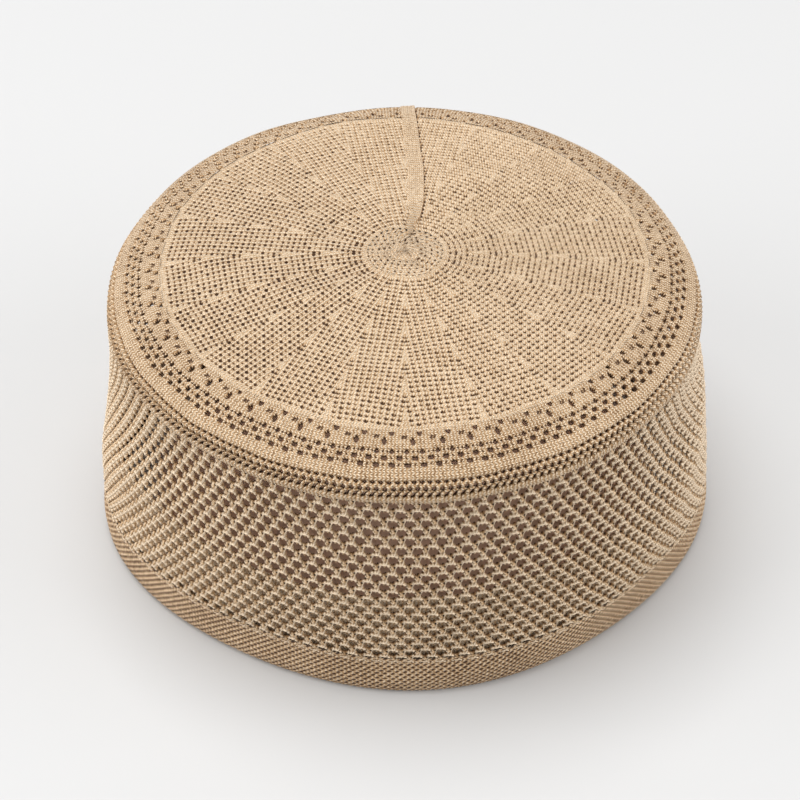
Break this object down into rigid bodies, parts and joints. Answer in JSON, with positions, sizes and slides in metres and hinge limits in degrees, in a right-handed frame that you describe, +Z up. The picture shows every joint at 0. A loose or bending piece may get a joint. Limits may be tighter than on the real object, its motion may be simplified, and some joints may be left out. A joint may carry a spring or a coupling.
{
  "type": "kufi cap",
  "caption": "Brimless knitted kufi cap with a round crown, pierced eyelet ring, rolled ridge band, open net side and turned plain hem, standing on its hem.",
  "frame": {"origin": "under the middle of the cap's box, on the surface that the hem rests on", "axes": "+Z up through the crown, -Y towards the front, +Y towards the back seam, +X to the right seen from the front"},
  "size_m": [0.1942, 0.1878, 0.0977],
  "materials": {
    "crown_knit": "fine matt tan yarn, plain knit with eyelets",
    "net_knit": "fine matt tan yarn, open net knit",
    "hem_knit": "fine matt tan yarn, close plain knit",
    "seam_knit": "fine matt tan yarn, raised linked seam"
  },
  "bodies": {
    "root": {"crown_top": "crown_knit", "eyelet_ring": "crown_knit", "ridge_band": "crown_knit", "net_side": "net_knit", "hem_band": "hem_knit", "hem_facing": "hem_knit", "back_seam": "seam_knit", "crown_gather": "seam_knit"}
  },
  "joints": []
}
